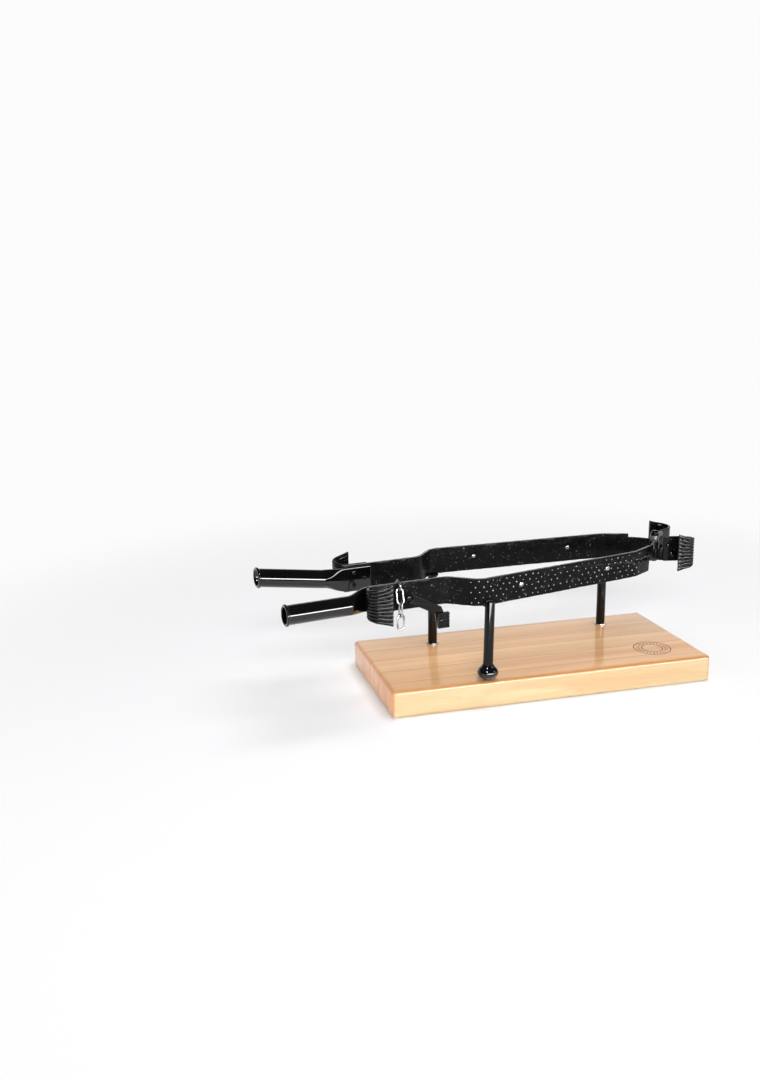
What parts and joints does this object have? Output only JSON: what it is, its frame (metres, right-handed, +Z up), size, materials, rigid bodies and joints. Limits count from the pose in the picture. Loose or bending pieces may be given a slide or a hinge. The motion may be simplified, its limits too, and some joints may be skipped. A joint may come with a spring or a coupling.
{
  "type": "ham holder stand",
  "caption": "Wooden board carrying a pair of hinged iron clamping jaws with tube handles, standing on posts and a sliding ball foot.",
  "frame": {"origin": "middle of the board's flat underside, on the surface it stands on", "axes": "+X along the board towards the hinge, +Y to the fixed rear jaw, +Z up"},
  "size_m": [0.5927, 0.1972, 0.1715],
  "materials": {
    "board_wood": "satin lacquer, edge-glued light wood",
    "black_paint": "gloss black paint on hammered iron",
    "zinc_hardware": "bright zinc plate",
    "chain_steel": "bright plated wire",
    "hinge_steel": "blackened steel"
  },
  "bodies": {
    "stand": {"board": "board_wood", "rear_left_post": "black_paint", "rear_left_foot_washer": "zinc_hardware", "rear_left_under_washer": "zinc_hardware", "rear_left_nut": "zinc_hardware", "rear_right_post": "black_paint", "rear_right_foot_washer": "zinc_hardware", "rear_right_under_washer": "zinc_hardware", "rear_right_nut": "zinc_hardware", "rear_jaw": "black_paint", "rear_arm_scroll": "black_paint", "rear_handle": "black_paint", "rear_arm_rivet_1": "black_paint", "rear_arm_rivet_2": "black_paint", "rear_arm_rivet_3": "black_paint", "rear_cheek_stud_1": "black_paint", "rear_cheek_stud_2": "black_paint", "front_tail": "black_paint", "front_tail_rivet_1": "black_paint", "front_tail_rivet_2": "black_paint", "hinge_pin": "hinge_steel", "hinge_middle_washer": "hinge_steel", "hinge_top_washer": "hinge_steel"},
    "front_half": {"front_jaw": "black_paint", "front_arm_scroll": "black_paint", "front_handle": "black_paint", "front_arm_rivet_1": "black_paint", "front_arm_rivet_2": "black_paint", "front_arm_rivet_3": "black_paint", "front_cheek_stud_1": "black_paint", "front_cheek_stud_2": "black_paint", "rear_tail": "black_paint", "rear_tail_rivet_1": "black_paint", "rear_tail_rivet_2": "black_paint", "front_leg": "black_paint", "front_foot": "black_paint", "chain_ring": "chain_steel", "latch_pin": "black_paint"},
    "latch": {"latch_lever": "black_paint", "latch_pad": "black_paint", "latch_pad_rivet": "black_paint"},
    "link_1": {"chain_link_1": "chain_steel"},
    "link_2": {"chain_link_2": "chain_steel"},
    "link_3": {"chain_link_3": "chain_steel"}
  },
  "joints": [
    {"name": "jaw_swing", "type": "hinge", "parent": "stand", "child": "front_half", "pos_m": [0.195, 0.033, 0.144], "axis": [0, 0, 1], "range_deg": [-7, 45]},
    {"name": "latch_turn", "type": "hinge", "parent": "front_half", "child": "latch", "pos_m": [-0.18037, -0.06247, 0.1375], "axis": [-0.1392, 0.9903, 0], "range_deg": [0, 45]},
    {"name": "chain_swing_1", "type": "hinge", "parent": "front_half", "child": "link_1", "pos_m": [-0.19243, -0.06427, 0.15073], "axis": [-0.9903, -0.1392, 0], "range_deg": [0, 40]},
    {"name": "chain_swing_2", "type": "hinge", "parent": "link_1", "child": "link_2", "pos_m": [-0.19179, -0.06884, 0.13272], "axis": [-0.9903, -0.1392, 0], "range_deg": [0, 40]},
    {"name": "chain_swing_3", "type": "hinge", "parent": "link_2", "child": "link_3", "pos_m": [-0.19188, -0.06818, 0.11673], "axis": [0.1392, -0.9903, 0], "range_deg": [-40, 40]}
  ]
}
